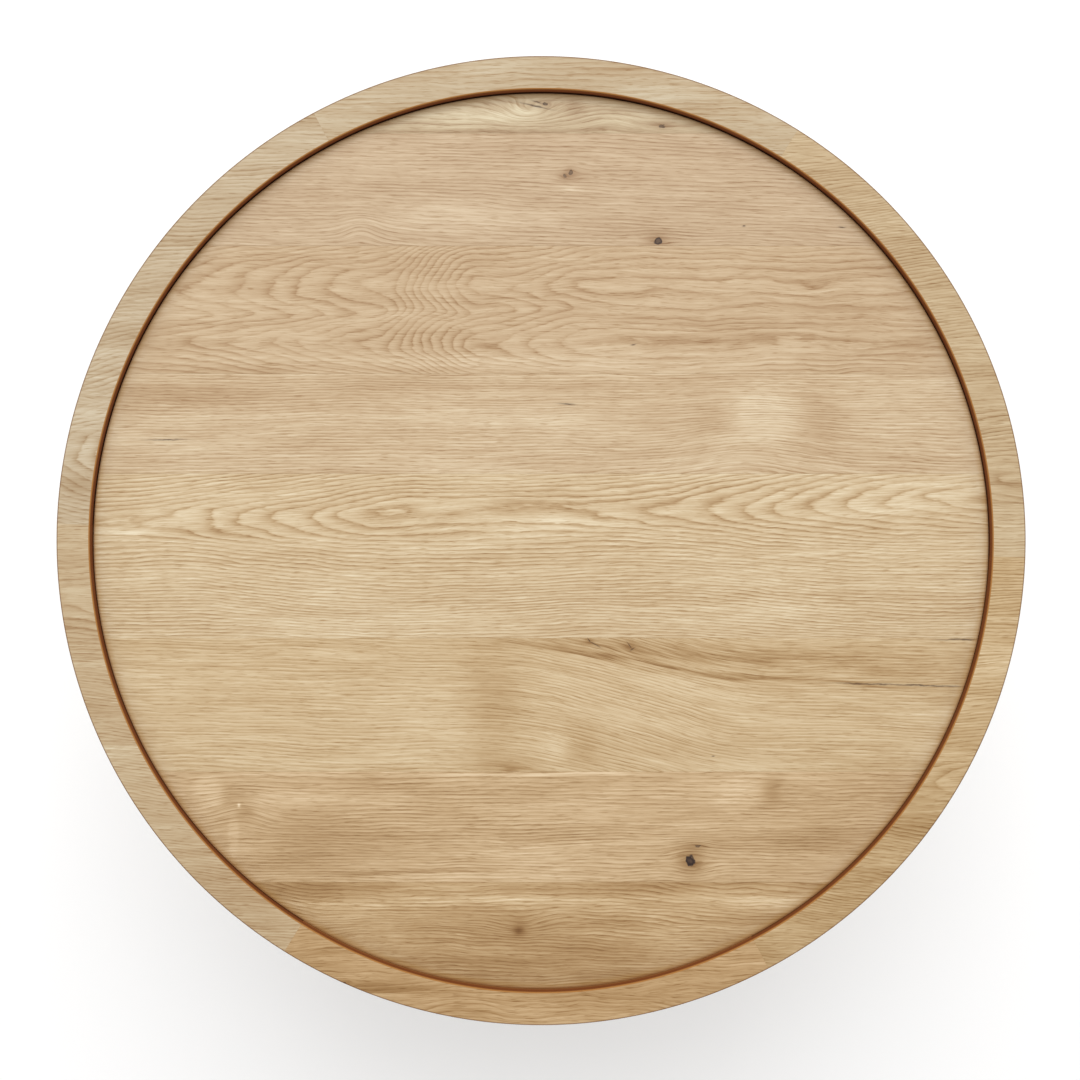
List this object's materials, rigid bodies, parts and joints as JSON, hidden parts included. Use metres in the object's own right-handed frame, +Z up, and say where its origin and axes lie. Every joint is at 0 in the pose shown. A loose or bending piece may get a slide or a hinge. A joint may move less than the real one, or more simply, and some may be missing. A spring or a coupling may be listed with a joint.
{
  "type": "pedestal table",
  "caption": "Round oak dining table: a board panel inside a raised rim, on a round column and plinth, with screw glides for levelling.",
  "frame": {"origin": "on the floor, below the centre of the column: the centre of the underside of the table's box", "axes": "+Z up; +X along the grain of the boards, +Y across them. The top is the same all round, so X and Y set only the grain."},
  "size_m": [0.9998, 0.9998, 0.75],
  "materials": {
    "oak_panel": "clear matt lacquer on knotty oak",
    "oak_rim": "clear matt lacquer on oak, inner wall stained brown",
    "oak_base": "clear matt lacquer on oak",
    "plywood": "raw birch plywood",
    "black_steel": "fine matt black powder coat",
    "zinc": "bright zinc plate",
    "nylon": "moulded nylon"
  },
  "bodies": {
    "table": {"ballast_plate": "black_steel", "ballast_screw_1": "zinc", "ballast_screw_2": "zinc", "ballast_screw_3": "zinc", "batten_1": "oak_base", "batten_2": "oak_base", "batten_screw_1": "zinc", "batten_screw_2": "zinc", "batten_screw_3": "zinc", "batten_screw_4": "zinc", "column_stave_1": "oak_base", "column_stave_2": "oak_base", "column_stave_3": "oak_base", "column_stave_4": "oak_base", "column_stave_5": "oak_base", "column_stave_6": "oak_base", "column_stave_7": "oak_base", "column_stave_8": "oak_base", "glide_tee_nut_1": "zinc", "glide_tee_nut_2": "zinc", "glide_tee_nut_3": "zinc", "glide_tee_nut_4": "zinc", "panel_board_1": "oak_panel", "panel_board_2": "oak_panel", "panel_board_3": "oak_panel", "panel_board_4": "oak_panel", "panel_board_5": "oak_panel", "panel_board_6": "oak_panel", "panel_board_7": "oak_panel", "panel_board_8": "oak_panel", "plate_screw_1": "zinc", "plate_screw_2": "zinc", "plate_screw_3": "zinc", "plate_screw_4": "zinc", "plate_screw_5": "zinc", "plate_screw_6": "zinc", "plinth_board_1": "oak_base", "plinth_board_2": "oak_base", "plinth_board_3": "oak_base", "plinth_board_4": "oak_base", "rim_segment_1": "oak_rim", "rim_segment_2": "oak_rim", "rim_segment_3": "oak_rim", "rim_segment_4": "oak_rim", "rim_segment_5": "oak_rim", "rim_segment_6": "oak_rim", "spigot_lower": "plywood", "spigot_upper": "plywood", "tie_rod": "zinc", "tie_rod_nut": "zinc", "tie_rod_washer": "zinc", "top_plate": "black_steel"},
    "glide_1": {"glide_pad_1": "nylon"},
    "glide_screw_1": {"glide_stem_1": "zinc"},
    "glide_2": {"glide_pad_2": "nylon"},
    "glide_screw_2": {"glide_stem_2": "zinc"},
    "glide_3": {"glide_pad_3": "nylon"},
    "glide_screw_3": {"glide_stem_3": "zinc"},
    "glide_4": {"glide_pad_4": "nylon"},
    "glide_screw_4": {"glide_stem_4": "zinc"}
  },
  "joints": [
    {"name": "glide_1_height", "type": "slide", "parent": "table", "child": "glide_1", "axis": [0, 0, -1], "range_m": [0, 0.01]},
    {"name": "glide_1_turn", "type": "hinge", "parent": "glide_1", "child": "glide_screw_1", "pos_m": [0.16971, 0.16971, 0], "axis": [0, 0, -1], "range_deg": [0, 2401]},
    {"name": "glide_2_height", "type": "slide", "parent": "table", "child": "glide_2", "axis": [0, 0, -1], "range_m": [0, 0.01]},
    {"name": "glide_2_turn", "type": "hinge", "parent": "glide_2", "child": "glide_screw_2", "pos_m": [-0.16971, 0.16971, 0], "axis": [0, 0, -1], "range_deg": [0, 2401]},
    {"name": "glide_3_height", "type": "slide", "parent": "table", "child": "glide_3", "axis": [0, 0, -1], "range_m": [0, 0.01]},
    {"name": "glide_3_turn", "type": "hinge", "parent": "glide_3", "child": "glide_screw_3", "pos_m": [-0.16971, -0.16971, 0], "axis": [0, 0, -1], "range_deg": [0, 2401]},
    {"name": "glide_4_height", "type": "slide", "parent": "table", "child": "glide_4", "axis": [0, 0, -1], "range_m": [0, 0.01]},
    {"name": "glide_4_turn", "type": "hinge", "parent": "glide_4", "child": "glide_screw_4", "pos_m": [0.16971, -0.16971, 0], "axis": [0, 0, -1], "range_deg": [0, 2401]}
  ],
  "couplings": [
    {"joint": "glide_1_turn", "follows": "glide_1_height", "rad_per_m": 4188.8},
    {"joint": "glide_2_turn", "follows": "glide_2_height", "rad_per_m": 4188.8},
    {"joint": "glide_3_turn", "follows": "glide_3_height", "rad_per_m": 4188.8},
    {"joint": "glide_4_turn", "follows": "glide_4_height", "rad_per_m": 4188.8}
  ]
}
